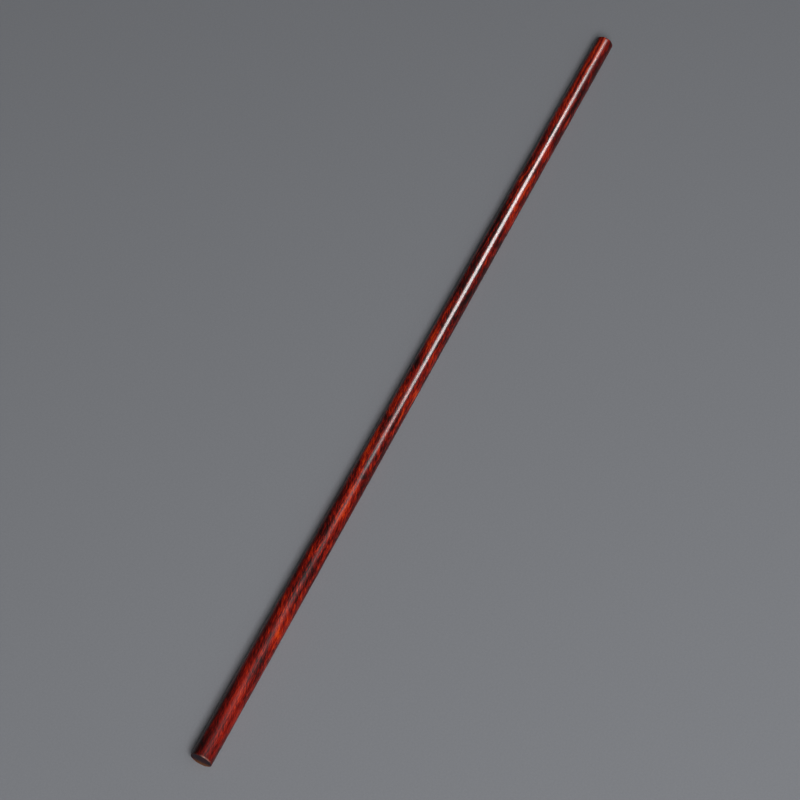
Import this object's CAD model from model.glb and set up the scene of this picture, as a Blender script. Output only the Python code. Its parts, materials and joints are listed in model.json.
"""A tapered short staff of lacquered rosewood, lying on a plain floor under soft studio light.

The staff lies along X with its thick butt at -X. Lengths are in metres and angles in radians, except
where a name or a comment says otherwise.
"""

import json
import math

import bpy
from mathutils import Matrix, Vector


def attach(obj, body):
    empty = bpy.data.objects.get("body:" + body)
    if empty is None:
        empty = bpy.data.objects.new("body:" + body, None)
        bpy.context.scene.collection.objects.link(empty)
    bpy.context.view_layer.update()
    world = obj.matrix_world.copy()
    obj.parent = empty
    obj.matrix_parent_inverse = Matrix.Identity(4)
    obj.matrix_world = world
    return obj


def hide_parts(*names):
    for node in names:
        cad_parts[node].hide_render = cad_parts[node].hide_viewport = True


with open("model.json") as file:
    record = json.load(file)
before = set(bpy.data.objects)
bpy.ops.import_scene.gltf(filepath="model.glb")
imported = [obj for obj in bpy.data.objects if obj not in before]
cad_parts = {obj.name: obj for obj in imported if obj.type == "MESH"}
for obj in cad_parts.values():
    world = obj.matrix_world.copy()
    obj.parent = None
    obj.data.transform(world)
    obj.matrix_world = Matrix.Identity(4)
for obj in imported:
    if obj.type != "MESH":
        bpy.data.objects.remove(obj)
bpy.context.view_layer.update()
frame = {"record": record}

MM = 0.001

# The staff's mesh.
SIDES = 96
BODY_RINGS = 620
RIM_STEPS = 8
FACE_RINGS = (0.25, 0.5, 0.75, 0.92)

# The staff's shape beyond what the frame gives. The end faces are crowned: each falls back a little
# from its middle to its rim.
BUTT_RIM_ROUND = 1.0 * MM
BUTT_CROWN = 0.12 * MM
BUTT_RIM_BACK = 0.15 * MM
TIP_RIM_ROUND = 3.0 * MM
TIP_CROWN = 0.35 * MM
TIP_RIM_BACK = 0.40 * MM
SIDEWAYS_BOW = 0.5 * MM
SKIN_CLEARANCE = 0.03 * MM
HAND_SANDING = 0.018 * MM
# The middle of each end face, within this radius, isn't sanded.
UNSANDED_RADIUS = 5.0 * MM

# The camera. Its angles are in degrees: its heading from +X towards +Y, and how far it looks down.
CAMERA_PLACE = (-1.7018, -0.7905, 3.0602)
CAMERA_HEADING = 25.746
CAMERA_DOWN = 59.0
CAMERA_LENS_MM = 117.15
SENSOR_MM = 36.0
CAMERA_REACH = 50.0


# ---------------------------------------------------------------- the staff's mesh

def staff_axis():
    """The centres of the butt face and tip face, and the staff's radius at each."""
    mounts = {mount["name"]: Vector(mount["pos_m"]) for mount in frame["record"]["mounts"]}
    butt, tip = mounts["butt_face"], mounts["tip_face"]
    # The staff rests on Z = 0 along its whole underside, so each centre is one radius up.
    return butt, tip, butt.z, tip.z


def crowned_face(end, direction, crown, flat_radius):
    """Points from an end face's middle out to its rim, as (place along axis, radius)."""
    return [(end - direction * crown * share ** 2, share * flat_radius) for share in FACE_RINGS]


def rim_arc(end, direction, rounding, radius):
    """Points from the side of the staff round to its end face, as (place along axis, radius)."""
    points = []
    for step in range(RIM_STEPS + 1):
        angle = 0.5 * math.pi * step / RIM_STEPS
        along = end - direction * rounding * (1.0 - math.sin(angle))
        points.append((along, radius - rounding * (1.0 - math.cos(angle))))
    return points


def staff_outline(length, butt_radius, tip_radius):
    """The staff's half section from the butt's centre to the tip's, as (place along axis, radius)."""
    half = 0.5 * length
    start, stop = -half + BUTT_RIM_ROUND, half - TIP_RIM_ROUND

    body = []
    for ring in range(1, BODY_RINGS):
        along = start + (stop - start) * ring / BODY_RINGS
        taper = (along + half) / length
        body.append((along, butt_radius + (tip_radius - butt_radius) * taper))

    butt_face = crowned_face(-half, -1.0, BUTT_CROWN, butt_radius - BUTT_RIM_ROUND)
    butt_rim = rim_arc(-half + BUTT_RIM_BACK, -1.0, BUTT_RIM_ROUND, butt_radius)
    tip_rim = rim_arc(half - TIP_RIM_BACK, 1.0, TIP_RIM_ROUND, tip_radius)
    tip_face = crowned_face(half, 1.0, TIP_CROWN, tip_radius - TIP_RIM_ROUND)
    return butt_face + butt_rim[::-1] + body + tip_rim + tip_face[::-1]


def hand_sanding(along, angle):
    """How far the hand-sanded side stands off a perfect cone, as a share from -1 to 1."""
    # One wave is about 200 mm long and the other about 75 mm, and both wander round the staff.
    slow = math.sin(along * 31.0 + 0.6) * math.cos(angle * 2.0 + along * 3.0)
    quick = math.sin(along * 83.0 + 2.1) * math.cos(angle * 3.0 - along * 7.0 + 1.0)
    return 0.6 * slow + 0.4 * quick


def skin_faces(rings):
    """Quads between neighbouring rings of points, with a fan of triangles at each end."""
    faces = []
    tip_ring = 1 + (rings - 1) * SIDES
    tip_centre = 1 + rings * SIDES
    for side in range(SIDES):
        beside = (side + 1) % SIDES
        faces.append((0, 1 + beside, 1 + side))
        for ring in range(rings - 1):
            here, there = 1 + ring * SIDES, 1 + (ring + 1) * SIDES
            faces.append((here + side, here + beside, there + beside, there + side))
        faces.append((tip_centre, tip_ring + side, tip_ring + beside))
    return faces


def make_staff_mesh():
    """The staff as one closed lathe-turned skin, a hair inside the CAD solid."""
    butt, tip, butt_radius, tip_radius = staff_axis()
    length = (tip - butt).length
    half = 0.5 * length
    middle = (butt + tip) / 2.0
    along_axis = (tip - butt).normalized()
    across = Vector((0.0, 1.0, 0.0))
    upward = across.cross(along_axis).normalized()

    outline = staff_outline(length, butt_radius, tip_radius)
    places = [middle - along_axis * half]
    for along, radius in outline:
        bow = SIDEWAYS_BOW * (1.0 - (along / half) ** 2)
        for side in range(SIDES):
            angle = 2.0 * math.pi * side / SIDES
            skin = radius
            if radius > UNSANDED_RADIUS:
                skin += HAND_SANDING * hand_sanding(along, angle) - SKIN_CLEARANCE
            places.append(middle + along_axis * along
                          + across * (skin * math.cos(angle) + bow)
                          + upward * (skin * math.sin(angle)))
    places.append(middle + along_axis * half)

    mesh = bpy.data.meshes.new("rosewood_staff")
    mesh.from_pydata([tuple(place) for place in places], [], skin_faces(len(outline)))
    mesh.validate()
    mesh.shade_smooth()
    return mesh


# ---------------------------------------------------------------- shader helpers

class Shader:
    """A material's node tree, with short names for the nodes that the wood is made of."""

    def __init__(self, name):
        self.material = bpy.data.materials.new(name)
        self.material.use_nodes = True
        self.tree = self.material.node_tree
        self.tree.nodes.clear()

    def node(self, kind, **settings):
        made = self.tree.nodes.new(kind)
        for key, value in settings.items():
            setattr(made, key, value)
        return made

    def plug(self, socket, value):
        """Link a socket, or set a plain number, vector or colour."""
        if isinstance(value, bpy.types.NodeSocket):
            self.tree.links.new(value, socket)
        else:
            socket.default_value = value

    def math(self, operation, *values):
        made = self.node("ShaderNodeMath", operation=operation)
        for socket, value in zip(made.inputs, values):
            self.plug(socket, value)
        return made.outputs[0]

    def vector(self, operation, *values):
        made = self.node("ShaderNodeVectorMath", operation=operation)
        for socket, value in zip(made.inputs, values):
            self.plug(socket, value)
        return made.outputs[0]

    def parts(self, vector):
        made = self.node("ShaderNodeSeparateXYZ")
        self.plug(made.inputs[0], vector)
        return made.outputs

    def joined(self, x, y, z):
        made = self.node("ShaderNodeCombineXYZ")
        for socket, value in zip(made.inputs, (x, y, z)):
            self.plug(socket, value)
        return made.outputs[0]

    def distance(self, first, second):
        """How far apart two places are, from their gaps along two axes at right angles."""
        squares = self.math("ADD", self.math("MULTIPLY", first, first),
                            self.math("MULTIPLY", second, second))
        return self.math("SQRT", squares)

    def turned(self, vector, angle):
        """A place turned round the X axis."""
        made = self.node("ShaderNodeVectorRotate", rotation_type="X_AXIS")
        self.plug(made.inputs["Vector"], vector)
        self.plug(made.inputs["Angle"], angle)
        return made.outputs[0]

    def noise(self, vector, scale=1.0, detail=2.0, roughness=0.5, distortion=0.0):
        made = self.node("ShaderNodeTexNoise", noise_dimensions="3D")
        self.plug(made.inputs["Vector"], vector)
        self.plug(made.inputs["Scale"], scale)
        self.plug(made.inputs["Detail"], detail)
        self.plug(made.inputs["Roughness"], roughness)
        self.plug(made.inputs["Distortion"], distortion)
        return made.outputs["Fac"]

    def stretched_noise(self, vector, scales, **settings):
        """Noise with its own scale, per metre, along each axis."""
        return self.noise(self.vector("MULTIPLY", vector, scales), **settings)

    def line_noise(self, place, scale=1.0, detail=2.0, roughness=0.5):
        made = self.node("ShaderNodeTexNoise", noise_dimensions="1D")
        self.plug(made.inputs["W"], place)
        self.plug(made.inputs["Scale"], scale)
        self.plug(made.inputs["Detail"], detail)
        self.plug(made.inputs["Roughness"], roughness)
        return made.outputs["Fac"]

    def sway(self, noise, strength, middle=0.0):
        """Turn noise, which lies about 0.5, into a swing of some strength about middle."""
        return self.math("MULTIPLY_ADD", self.math("SUBTRACT", noise, 0.5), strength, middle)

    def spread(self, value, low, high, to_low=0.0, to_high=1.0):
        """Stretch value's range low..high to to_low..to_high, clamped, with soft ends."""
        made = self.node("ShaderNodeMapRange", clamp=True, interpolation_type="SMOOTHSTEP")
        for socket, number in zip(made.inputs, (value, low, high, to_low, to_high)):
            self.plug(socket, number)
        return made.outputs[0]

    def ramp(self, value, stops):
        made = self.node("ShaderNodeValToRGB")
        elements = made.color_ramp.elements
        while len(elements) < len(stops):
            elements.new(0.5)
        for element, (place, colour) in zip(elements, stops):
            element.position = place
            element.color = (*colour, 1.0)
        self.plug(made.inputs[0], value)
        return made.outputs[0]

    def mix(self, share, first, second):
        made = self.node("ShaderNodeMix", data_type="RGBA")
        self.plug(made.inputs[0], share)
        for socket, value in ((made.inputs[6], first), (made.inputs[7], second)):
            if isinstance(value, tuple):
                value = (*value, 1.0)
            self.plug(socket, value)
        return made.outputs[2]

    def surface(self, values):
        """Finish the material with a Principled shader that has these values, by input name."""
        shader = self.node("ShaderNodeBsdfPrincipled")
        for name, value in values.items():
            self.plug(shader.inputs[name], value)
        output = self.node("ShaderNodeOutputMaterial")
        self.plug(output.inputs["Surface"], shader.outputs[0])


def linear(red, green, blue):
    """A display colour out of 255 as scene-linear light."""
    def channel(value):
        value /= 255.0
        return value / 12.92 if value <= 0.04045 else ((value + 0.055) / 1.055) ** 2.4
    return channel(red), channel(green), channel(blue)


# ---------------------------------------------------------------- rosewood

BLACK_BROWN = linear(34, 12, 11)
MAROON = linear(88, 15, 12)
DEEP_RED = linear(150, 23, 13)
RED = linear(210, 42, 11)
ORANGE = linear(250, 78, 14)
PORE_BROWN = linear(30, 11, 9)
SEALED_END = linear(38, 33, 43)
BARE_FACE = linear(172, 100, 42)
WORN_EDGE = linear(178, 120, 106)

# The wood's colours by tone.
TONES = [(0.0, BLACK_BROWN), (0.25, MAROON), (0.48, DEEP_RED), (0.74, RED), (1.0, ORANGE)]
MIDDLE_TONE = 0.42

# How much each kind of figure lightens or darkens the tone.
LAYER_STRENGTH = 1.2
FLAME_STRENGTH = 1.2
MOTTLE_STRENGTH = 1.6
THREAD_STRENGTH = 1.4

# How fine each kind of figure is along the fibres and across them, per metre.
WARP_SCALES = (4.0, 42.0, 42.0)
FLAME_SCALES = (17.0, 140.0, 140.0)
MOTTLE_SCALES = (115.0, 470.0, 470.0)
THREAD_SCALES = (90.0, 1300.0, 1300.0)
RAGGED_SCALES = (14.0, 160.0, 160.0)
PORE_SCALES = (150.0, 2600.0, 2600.0)
VESSEL_SCALES = (300.0, 1500.0, 1500.0)
KNOCK_SCALES = (330.0, 330.0, 330.0)
LAYER_SCALE = 310.0

# The slanted figure winds round the staff as fast as this, in radians per metre.
CROSSING_TWIST = 28.0

# The tree's pith is a line outside the staff: its (y, z) from the axis where it passes the staff's
# middle, and how fast they change along x.
PITH_PLACE = (-31.0 * MM, 24.0 * MM)
PITH_SLOPE = (-0.012, 0.016)

# Wear. The butt's rim is rubbed most this many degrees from straight up, towards -Y, and a hand
# has held the staff about this place.
RUB_LEAN = 30.0
GRIP_PLACE = -0.28
GRIP_LACQUER = 0.60
SIDE_LACQUER = 0.50
END_LACQUER = 0.15

# The figure that can be told apart by eye: marks lighter or darker than the wood about them.
# Place along the staff and half length in mm, angle from straight up towards -Y and half width in
# degrees, slant in degrees per 100 mm, and how much lighter the wood is.
FIGURE = [
    (-630, -20, 18, 24, 0, -0.32),
    (-620, 34, 12, 12, 0, -0.10),
    (-610, -52, 50, 18, 0, -0.24),
    (-605, 48, 22, 16, 0, 0.14),
    (-596, 18, 14, 8, 0, -0.12),
    (-596, 54, 16, 10, 0, 0.16),
    (-590, 35, 40, 30, 0, -0.08),
    (-560, 65, 28, 18, 0, 0.16),
    (-556, 17, 30, 18, 0, 0.38),
    (-552, -6, 28, 12, 0, -0.26),
    (-545, 70, 16, 11, 0, 0.10),
    (-508, 4, 20, 12, 0, 0.24),
    (-500, 30, 24, 13, 0, -0.26),
    (-461, 4, 20, 12, 0, -0.38),
    (-460, -18, 16, 10, 0, 0.22),
    (-446, 52, 32, 36, 10, 0.48),
    (-442, -20, 24, 16, 0, -0.26),
    (-432, 8, 18, 12, 0, 0.26),
    (-402, -30, 18, 14, 0, 0.34),
    (-376, 6, 16, 9, 0, -0.12),
    (-375, 20, 28, 30, -10, 0.12),
    (-353, 18, 20, 50, 0, -0.26),
    (-348, 17, 14, 8, 0, -0.24),
    (-335, -25, 35, 16, 20, 0.14),
    (-322, 2, 18, 14, 0, -0.16),
    (-310, 60, 30, 18, -20, 0.24),
    (-285, -20, 16, 30, 30, -0.30),
    (-264, 31, 14, 10, 0, 0.26),
    (-256, 37, 20, 14, 0, 0.34),
    (-248, 9, 28, 8, 0, -0.40),
    (-230, -28, 40, 14, 0, -0.18),
    (-230, 72, 45, 15, 0, -0.30),
    (-225, 20, 34, 38, -8, 0.32),
    (-192, 20, 10, 25, 120, -0.28),
    (-173, 8, 16, 12, 0, -0.34),
    (-173, 40, 16, 14, 0, 0.24),
    (-160, 45, 28, 30, 0, -0.06),
    (-150, -22, 50, 16, -35, 0.40),
    (-143, -18, 16, 10, 0, 0.14),
    (-143, 74, 28, 13, 0, -0.22),
    (-112, -6, 16, 12, 0, -0.36),
    (-112, 17, 16, 9, 0, 0.26),
    (-110, 60, 18, 16, 20, 0.08),
    (-108, 32, 18, 12, 0, 0.20),
    (-88, 48, 18, 18, 0, -0.40),
    (-72, 50, 16, 10, 0, -0.20),
    (-65, -38, 22, 16, 0, 0.22),
    (-48, 60, 24, 12, 0, 0.92),
    (-44, 82, 26, 10, 0, -0.22),
    (-40, 35, 26, 9, 0, -0.24),
    (5, -30, 14, 22, 0, -0.28),
    (10, 46, 18, 12, 0, 0.16),
    (42, -52, 14, 14, 0, -0.30),
    (42, -14, 14, 10, 0, 0.18),
    (45, -4, 16, 10, 0, 0.16),
    (75, -22, 60, 18, -8, 0.28),
    (95, 2, 26, 9, 0, -0.16),
    (100, 32, 18, 14, 0, -0.42),
    (140, 37, 16, 11, 0, 0.42),
    (140, 50, 55, 24, 0, -0.34),
    (168, -4, 26, 9, 0, -0.20),
    (185, 68, 50, 18, 0, -0.28),
    (200, 36, 22, 9, 0, 0.32),
    (204, 66, 14, 10, 0, 0.26),
    (215, -25, 70, 26, 0, -0.22),
    (236, 44, 18, 12, 0, -0.40),
    (260, 58, 55, 16, 0, 0.22),
    (276, -14, 30, 17, 0, -0.38),
    (304, -2, 14, 9, 0, -0.20),
    (304, 32, 18, 12, 0, 0.22),
    (312, 58, 24, 13, 0, -0.24),
    (330, 38, 32, 14, 0, 0.42),
    (345, -25, 22, 18, 0, 0.26),
    (374, -29, 20, 18, 0, -0.36),
    (406, -31, 14, 10, 0, 0.26),
    (406, 34, 20, 28, 0, 0.44),
    (440, 50, 22, 20, 0, -0.10),
    (444, -15, 26, 14, 0, -0.28),
    (475, -22, 35, 20, 0, 0.28),
    (477, 38, 16, 10, 0, -0.30),
    (478, 65, 16, 14, 0, 0.62),
    (512, -4, 20, 12, 0, -0.14),
    (558, 57, 60, 24, 0, -0.38),
    (566, -31, 30, 10, 0, 0.20),
    (575, -14, 60, 24, 0, 0.24),
    (616, 19, 22, 16, 0, 0.60),
    # Two dark bands run along the whole staff, one on each side of its top.
    (0, -58, 900, 16, 0, -0.24),
    (0, 88, 900, 16, 0, -0.14),
]
MARK_FALLOFF = -0.8
SLANT_SPAN = 100.0 * MM


def add_figure(nodes, along, angle, tone):
    """Lighten or darken tone at each mark of FIGURE, with soft edges."""
    for place, middle, half_length, half_width, slant, lift in FIGURE:
        place, half_length = place * MM, half_length * MM
        middle, half_width = math.radians(middle), math.radians(half_width)
        slant = math.radians(slant) / SLANT_SPAN
        out_along = nodes.math("MULTIPLY_ADD", along, 1.0 / half_length, -place / half_length)
        leaning = nodes.math("MULTIPLY_ADD", along, -slant / half_width,
                             (slant * place - middle) / half_width)
        out_round = nodes.math("MULTIPLY_ADD", angle, 1.0 / half_width, leaning)
        squared = nodes.math("MULTIPLY_ADD", out_along, out_along,
                             nodes.math("MULTIPLY", out_round, out_round))
        inside = nodes.math("EXPONENT", nodes.math("MULTIPLY", squared, MARK_FALLOFF))
        tone = nodes.math("MULTIPLY_ADD", inside, lift, tone)
    return tone


def height_above_axis(nodes, x, z):
    """How far a place is above the staff's axis, which leans down towards the tip."""
    butt, tip, butt_radius, tip_radius = staff_axis()
    lean = (tip.z - butt.z) / (tip.x - butt.x)
    axis_height = nodes.math("MULTIPLY_ADD", x, lean, 0.5 * (butt_radius + tip_radius))
    return nodes.math("SUBTRACT", z, axis_height)


def follow_fibres(nodes, x, centred):
    """Places turned so that the fibres run straight: they wind one way and then the other."""
    wander = nodes.line_noise(nodes.math("MULTIPLY_ADD", x, 2.3, 4.7), detail=1.0)
    quiver = nodes.line_noise(nodes.math("MULTIPLY_ADD", x, 19.0, 1.3), detail=1.0)
    return nodes.turned(centred, nodes.sway(quiver, 0.42, nodes.sway(wander, 2.4)))


def growth_layers(nodes, x, fibre):
    """Growth layers: rings round the pith, bent by slow noise."""
    _, fibre_y, fibre_z = nodes.parts(fibre)
    pith_y = nodes.math("MULTIPLY_ADD", x, PITH_SLOPE[0], PITH_PLACE[0])
    pith_z = nodes.math("MULTIPLY_ADD", x, PITH_SLOPE[1], PITH_PLACE[1])
    from_pith = nodes.distance(nodes.math("SUBTRACT", fibre_y, pith_y),
                               nodes.math("SUBTRACT", fibre_z, pith_z))
    warp = nodes.stretched_noise(fibre, WARP_SCALES, detail=2.5, roughness=0.55)
    layer = nodes.sway(warp, 16.0 * MM, from_pith)
    return nodes.line_noise(layer, scale=LAYER_SCALE, detail=2.5, roughness=0.62)


def crossing_grain(nodes, x, fibre):
    """Interlocked grain: mottle and fine threads that cross the fibres at a slant."""
    slanted = nodes.turned(fibre, nodes.math("MULTIPLY", x, CROSSING_TWIST))
    mottle = nodes.stretched_noise(slanted, MOTTLE_SCALES, roughness=0.6, distortion=0.3)
    threads = nodes.stretched_noise(slanted, THREAD_SCALES, roughness=0.65)
    return mottle, threads


def plain_tone(nodes, x, y, fibre, layers, mottle, threads):
    """The wood's tone before its marks, from 0 for the darkest wood to 1 for the lightest."""
    flames = nodes.stretched_noise(fibre, FLAME_SCALES, roughness=0.6, distortion=0.25)
    coarse = nodes.sway(flames, FLAME_STRENGTH, nodes.sway(layers, LAYER_STRENGTH))
    fine = nodes.sway(threads, THREAD_STRENGTH, nodes.sway(mottle, MOTTLE_STRENGTH))

    # The fine figure is quieter towards the tip, and all of it on the butt's far side.
    fine = nodes.math("MULTIPLY", fine, nodes.spread(x, 0.30, 0.60, 1.0, 0.65))
    from_far_side = nodes.math("MULTIPLY_ADD", y, -8.0, x)
    quiet = nodes.spread(from_far_side, -0.64, -0.25, 0.45, 1.0)
    return nodes.math("MULTIPLY_ADD", nodes.math("ADD", coarse, fine), quiet, MIDDLE_TONE)


def marked_tone(nodes, x, y, above_axis, fibre, tone):
    """The tone with its marks, whose edges are ragged along the fibres."""
    ragged = nodes.stretched_noise(fibre, RAGGED_SCALES, detail=3.0)
    angle = nodes.math("ARCTAN2", nodes.math("MULTIPLY", y, -1.0), above_axis)
    return add_figure(nodes, nodes.sway(ragged, 50.0 * MM, x), nodes.sway(ragged, 1.1, angle), tone)


def bare_end(nodes, centred, layers):
    """End grain with no finish: brown, with dark rings and vessel dots."""
    rings = nodes.spread(layers, 0.35, 0.65, 0.0, 0.45)
    vessels = nodes.stretched_noise(centred, VESSEL_SCALES, detail=1.0)
    dots = nodes.spread(vessels, 0.50, 0.66, 0.0, 0.5)
    return nodes.mix(nodes.math("ADD", rings, dots), BARE_FACE, SEALED_END)


def butt_rim_rub(nodes, x, y, above_axis, knocks):
    """How far the butt's rim is rubbed pale: most of all at the top, towards -Y."""
    butt, _, butt_radius, _ = staff_axis()
    inward = nodes.math("SUBTRACT", butt_radius, nodes.distance(y, above_axis))
    forward = nodes.math("SUBTRACT", x, butt.x)
    reach = nodes.sway(knocks, 4.0 * MM, nodes.distance(inward, forward))
    rubbed = nodes.spread(reach, 0.8 * MM, 2.4 * MM, 0.8, 0.0)

    lean = math.radians(RUB_LEAN)
    outward = nodes.math("MULTIPLY_ADD", y, -math.sin(lean),
                         nodes.math("MULTIPLY", above_axis, math.cos(lean)))
    exposed = nodes.spread(outward, 11.5 * MM, 14.6 * MM, 0.08, 1.0)
    return nodes.math("MULTIPLY", rubbed, exposed)


def make_rosewood():
    """Solid rosewood under a clear gloss lacquer, worked out in the staff's own space."""
    nodes = Shader("lacquered_rosewood")
    place = nodes.node("ShaderNodeTexCoord").outputs["Object"]
    x, y, z = nodes.parts(place)
    above_axis = height_above_axis(nodes, x, z)
    centred = nodes.joined(x, y, above_axis)
    fibre = follow_fibres(nodes, x, centred)
    layers = growth_layers(nodes, x, fibre)
    mottle, threads = crossing_grain(nodes, x, fibre)

    tone = plain_tone(nodes, x, y, fibre, layers, mottle, threads)
    tone = marked_tone(nodes, x, y, above_axis, fibre, tone)

    # Pores: short dark vessel lines along the fibres.
    pore = nodes.spread(nodes.stretched_noise(fibre, PORE_SCALES, detail=1.0), 0.60, 0.70)
    wood = nodes.mix(nodes.math("MULTIPLY", pore, 0.65), nodes.ramp(tone, TONES), PORE_BROWN)

    # The end grain soaks up the finish and looks almost black, but low on each face, and with a
    # ragged edge, it is worn bare.
    normal = nodes.node("ShaderNodeNewGeometry").outputs["Normal"]
    facing_along = nodes.math("ABSOLUTE", nodes.parts(normal)[0])
    end_grain = nodes.spread(facing_along, 0.80, 0.97)
    colour = nodes.mix(end_grain, wood, nodes.mix(0.88, wood, SEALED_END))
    knocks = nodes.stretched_noise(place, KNOCK_SCALES, detail=3.0)
    worn_height = nodes.sway(knocks, 8.0 * MM, above_axis)
    worn_bare = nodes.spread(worn_height, -10.0 * MM, -1.0 * MM, 0.9, 0.0)
    worn_bare = nodes.math("MULTIPLY", worn_bare, end_grain)
    colour = nodes.mix(worn_bare, colour, bare_end(nodes, centred, layers))
    colour = nodes.mix(butt_rim_rub(nodes, x, y, above_axis, knocks), colour, WORN_EDGE)

    # The lacquer is thin on the end grain, and where a hand has held the staff.
    from_grip = nodes.math("ABSOLUTE", nodes.math("SUBTRACT", x, GRIP_PLACE))
    held = nodes.spread(from_grip, 0.06, 0.14, GRIP_LACQUER, 1.0)
    unworn = nodes.spread(end_grain, 0.0, 1.0, SIDE_LACQUER, END_LACQUER)
    lacquer = nodes.math("MULTIPLY", held, unworn)

    # The threads stand up a little through the lacquer and the pores sink in.
    relief = nodes.node("ShaderNodeBump")
    nodes.plug(relief.inputs["Strength"], 0.2)
    nodes.plug(relief.inputs["Distance"], 0.2 * MM)
    height = nodes.math("SUBTRACT", threads, nodes.math("MULTIPLY", pore, 0.8))
    nodes.plug(relief.inputs["Height"], height)

    roughness = nodes.math("MULTIPLY_ADD", end_grain, 0.1, nodes.sway(threads, 0.35, 0.46))
    nodes.surface({"Base Color": colour, "Roughness": roughness, "Normal": relief.outputs[0],
                   "Specular IOR Level": 0.06, "Coat Weight": lacquer, "Coat Roughness": 0.19,
                   "Coat IOR": 1.5})
    return nodes.material


# ---------------------------------------------------------------- studio

FLOOR_HALF = 14.0
FLOOR_TOOTH_SCALE = 420.0
FLOOR_SHADES = [(0.3, (0.385, 0.398, 0.429)), (0.7, (0.415, 0.428, 0.459))]
ROOM_COLOUR = (0.93, 0.96, 1.0, 1.0)
ROOM_STRENGTH = 0.028
ALONG_STAFF = (1.0, 0.0, 0.0)


def make_floor():
    """A plain floor with a very faint tooth."""
    mesh = bpy.data.meshes.new("floor")
    corners = [(side * FLOOR_HALF, end * FLOOR_HALF, 0.0)
               for side, end in ((-1, -1), (1, -1), (1, 1), (-1, 1))]
    mesh.from_pydata(corners, [], [(0, 1, 2, 3)])
    floor = bpy.data.objects.new("floor", mesh)
    bpy.context.scene.collection.objects.link(floor)

    nodes = Shader("pale_floor")
    place = nodes.node("ShaderNodeTexCoord").outputs["Object"]
    shade = nodes.ramp(nodes.noise(place, scale=FLOOR_TOOTH_SCALE), FLOOR_SHADES)
    nodes.surface({"Base Color": shade, "Roughness": 0.95, "Specular IOR Level": 0.0})
    mesh.materials.append(nodes.material)


def add_softbox(name, place, target, width, height, radiance, long_way):
    """An oval soft light at place, facing target, with its width along long_way."""
    lamp = bpy.data.lights.new(name, "AREA")
    lamp.shape = "ELLIPSE"
    lamp.size = width
    lamp.size_y = height
    area = 0.25 * math.pi * width * height
    lamp.energy = radiance * math.pi * area
    box = bpy.data.objects.new(name, lamp)
    back = (Vector(place) - Vector(target)).normalized()
    side = Vector(long_way)
    side = (side - back * side.dot(back)).normalized()
    up = back.cross(side)
    turn = Matrix((side, up, back)).transposed()
    box.matrix_world = Matrix.Translation(place) @ turn.to_4x4()
    bpy.context.scene.collection.objects.link(box)
    return box


def make_light():
    """A main light behind the camera and to its right, a dim one overhead, a softbox for the long
    highlight, and a dim room."""
    add_softbox("main", place=(-3.8, -2.86, 5.28), target=(-0.1, 0.0, 0.0),
                width=4.0, height=3.0, radiance=8.3, long_way=ALONG_STAFF)
    add_softbox("overhead", place=(-0.25, -1.55, 1.98), target=(-0.4, 0.0, 0.0),
                width=2.2, height=4.2, radiance=0.30, long_way=ALONG_STAFF)
    # This softbox lies askew to the staff. It gives the highlight and no diffuse light.
    stripe = add_softbox("stripe", place=(3.37, -1.699, 4.681), target=(0.25, 0.0, 0.0),
                         width=3.08, height=1.29, radiance=39.5, long_way=(1.0, 4.348, 1.578))
    stripe.visible_diffuse = False

    room = bpy.data.worlds.new("room")
    room.use_nodes = True
    background = room.node_tree.nodes["Background"]
    background.inputs["Color"].default_value = ROOM_COLOUR
    background.inputs["Strength"].default_value = ROOM_STRENGTH
    bpy.context.scene.world = room


def make_camera():
    """A long lens, high up beyond the butt and to one side, that looks down along the staff."""
    lens = bpy.data.cameras.new("camera")
    lens.sensor_width = SENSOR_MM
    lens.lens = CAMERA_LENS_MM
    lens.clip_end = CAMERA_REACH
    camera = bpy.data.objects.new("camera", lens)
    camera.location = CAMERA_PLACE
    camera.rotation_mode = "XYZ"
    camera.rotation_euler = (math.radians(90.0 - CAMERA_DOWN), 0.0,
                             math.radians(CAMERA_HEADING - 90.0))
    bpy.context.scene.collection.objects.link(camera)
    bpy.context.scene.camera = camera


def make_staff():
    """The rosewood skin, which stands for the CAD body."""
    staff = bpy.data.objects.new("rosewood_staff", make_staff_mesh())
    bpy.context.scene.collection.objects.link(staff)
    staff.data.materials.append(make_rosewood())
    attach(staff, "root")
    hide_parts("staff")


make_staff()
make_floor()
make_light()
make_camera()
bpy.context.scene.view_settings.view_transform = "Standard"
